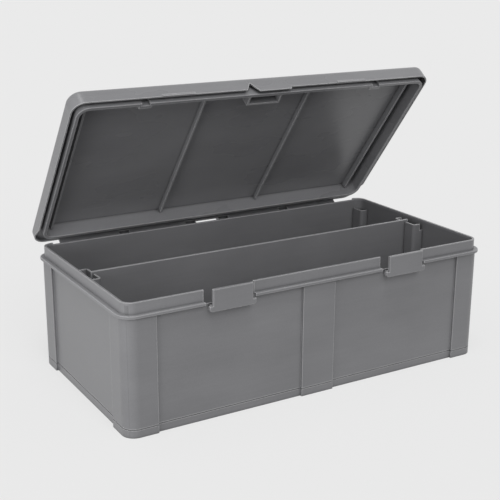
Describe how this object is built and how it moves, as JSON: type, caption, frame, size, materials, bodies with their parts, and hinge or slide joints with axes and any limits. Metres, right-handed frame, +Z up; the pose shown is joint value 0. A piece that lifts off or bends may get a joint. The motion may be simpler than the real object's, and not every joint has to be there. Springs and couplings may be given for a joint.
{
  "type": "trading card storage box",
  "caption": "Oblong moulded plastic box with a hinged lid, front latches and a long divider between its card rows, for storing trading cards on edge.",
  "frame": {"origin": "centre of the tub's underside", "axes": "+X along the box's length to the right, the front with the latches faces -Y, +Z up"},
  "size_m": [0.4088, 0.2416, 0.2932],
  "materials": {
    "moulded_plastic": "fine moulded grain",
    "pin_steel": "drawn rod"
  },
  "bodies": {
    "tub": {"tub": "moulded_plastic", "row_divider": "moulded_plastic", "hinge_pin_left": "pin_steel", "hinge_pin_right": "pin_steel", "latch_pin_left": "pin_steel", "latch_pin_right": "pin_steel"},
    "lid": {"lid": "moulded_plastic"},
    "latch_left": {"latch_left": "moulded_plastic"},
    "latch_right": {"latch_right": "moulded_plastic"}
  },
  "joints": [
    {"name": "lid_hinge", "type": "hinge", "parent": "tub", "child": "lid", "pos_m": [0, 0.1121, 0.105], "axis": [-1, 0, 0], "range_deg": [-52.1, 52.9]},
    {"name": "latch_left_swing", "type": "hinge", "parent": "tub", "child": "latch_left", "pos_m": [-0.098, -0.1062, 0.1104], "axis": [1, 0, 0], "range_deg": [-3.5, 90]},
    {"name": "latch_right_swing", "type": "hinge", "parent": "tub", "child": "latch_right", "pos_m": [0.098, -0.1062, 0.1104], "axis": [1, 0, 0], "range_deg": [-3.5, 90]}
  ]
}
